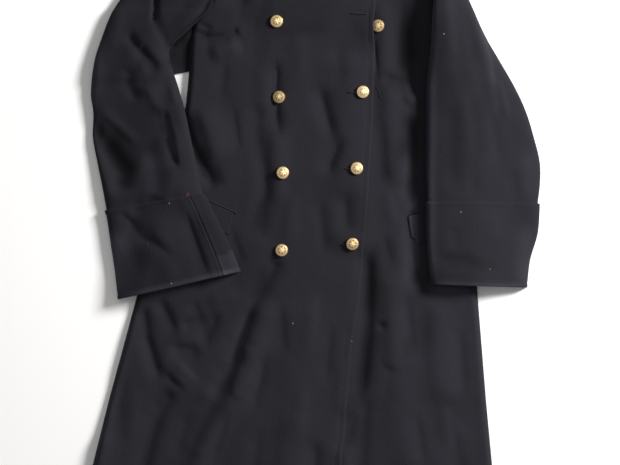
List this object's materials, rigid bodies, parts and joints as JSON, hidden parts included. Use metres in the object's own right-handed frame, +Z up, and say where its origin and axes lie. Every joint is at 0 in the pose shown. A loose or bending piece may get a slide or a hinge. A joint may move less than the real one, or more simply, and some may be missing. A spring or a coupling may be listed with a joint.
{
  "type": "double-breasted military greatcoat",
  "caption": "Heavy navy wool double-breasted military greatcoat laid flat on its back, with deep turned-back cuffs, a turned-down collar and gilt domed buttons.",
  "frame": {"origin": "centre of the coat's box at the surface it lies on", "axes": "+Z up from the surface, +Y from the hem to the collar, +X to the wearer's left sleeve"},
  "size_m": [0.8272, 1.2214, 0.0593],
  "materials": {
    "overcoating": "matt milled wool, navy that reads nearly black",
    "gilt": "worn gilt, softly polished, dark in its hollows"
  },
  "bodies": {
    "root": {"back": "overcoating", "front_right": "overcoating", "front_left": "overcoating", "sleeve_top_right": "overcoating", "sleeve_under_right": "overcoating", "cuff_right": "overcoating", "cuff_lap_right": "overcoating", "cuff_under_right": "overcoating", "sleeve_top_left": "overcoating", "sleeve_under_left": "overcoating", "cuff_left": "overcoating", "cuff_under_left": "overcoating", "pocket_flap_left": "overcoating", "pocket_flap_right": "overcoating", "collar": "overcoating", "button_right_1": "gilt", "button_right_2": "gilt", "button_right_3": "gilt", "button_right_4": "gilt", "button_left_1": "gilt", "button_left_2": "gilt", "button_left_3": "gilt", "button_left_4": "gilt"}
  },
  "joints": []
}
